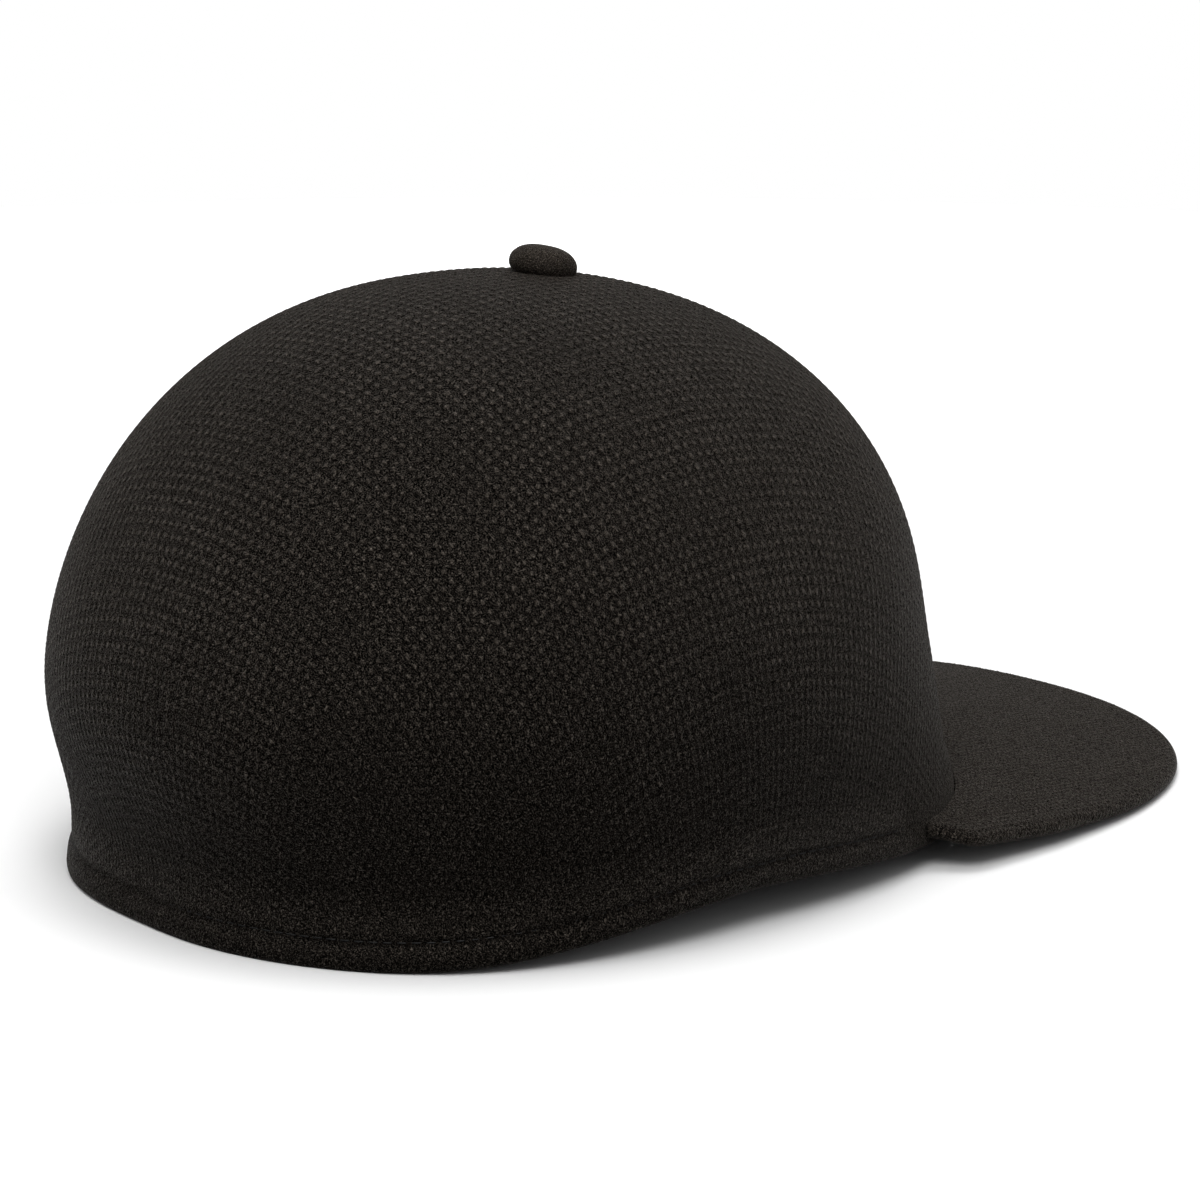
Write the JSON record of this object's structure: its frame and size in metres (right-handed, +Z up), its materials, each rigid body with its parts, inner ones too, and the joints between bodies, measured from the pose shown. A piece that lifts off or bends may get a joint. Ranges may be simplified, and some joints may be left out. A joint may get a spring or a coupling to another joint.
{
  "type": "bump cap",
  "caption": "Closed-back black knit baseball cap with a curved visor and covered button, over a removable impact shell with foam pads.",
  "frame": {"origin": "centre of the crown's plan, on the plane that the cap rests on", "axes": "+Z up, the visor points to -Y, the wearer's right is -X; the YZ plane is the plane of symmetry"},
  "size_m": [0.1708, 0.2722, 0.1289],
  "materials": {
    "black_knit": "matte stretch knit with a raised bird's-eye lattice",
    "black_felt": "matte brushed cloth",
    "elastic": "woven elastic tape",
    "stiffener_mesh": "stiff woven mesh",
    "black_tape": "ribbed woven tape",
    "towelling": "looped towelling",
    "label_satin": "blank satin ribbon",
    "visor_plastic": "moulded polyethylene board",
    "pressed_metal": "pressed and nickel plated",
    "loop_pile": "looped pile tape",
    "hook_tape": "hook tape",
    "shell_abs": "fine-textured moulded ABS",
    "trim_rubber": "soft extruded trim",
    "pad_foam": "closed-cell EVA foam, fine grain",
    "webbing": "woven webbing"
  },
  "bodies": {
    "insert": {"bump_shell": "shell_abs", "shell_trim": "trim_rubber", "crown_pad": "pad_foam", "front_pad": "pad_foam", "rear_pad": "pad_foam", "side_pads": "pad_foam", "hook_tabs": "hook_tape", "pull_tab": "webbing", "tab_rivet": "pressed_metal"},
    "cap": {"crown_knit": "black_knit", "hem_elastic": "elastic", "front_stiffener": "stiffener_mesh", "visor_seam_tape": "black_tape", "sweatband_backing": "black_tape", "sweatband_face": "towelling", "sweatband_binding": "black_tape", "care_label": "label_satin", "visor_top_cover": "black_knit", "visor_under_cover": "black_knit", "visor_board": "visor_plastic", "button_cover": "black_felt", "button_cap": "pressed_metal", "button_shank": "pressed_metal", "loop_tabs": "loop_pile"}
  },
  "joints": [
    {"name": "cap_lift", "type": "slide", "parent": "insert", "child": "cap", "axis": [0, 0.1045, 0.9945], "range_m": [0, 0.13]}
  ]
}
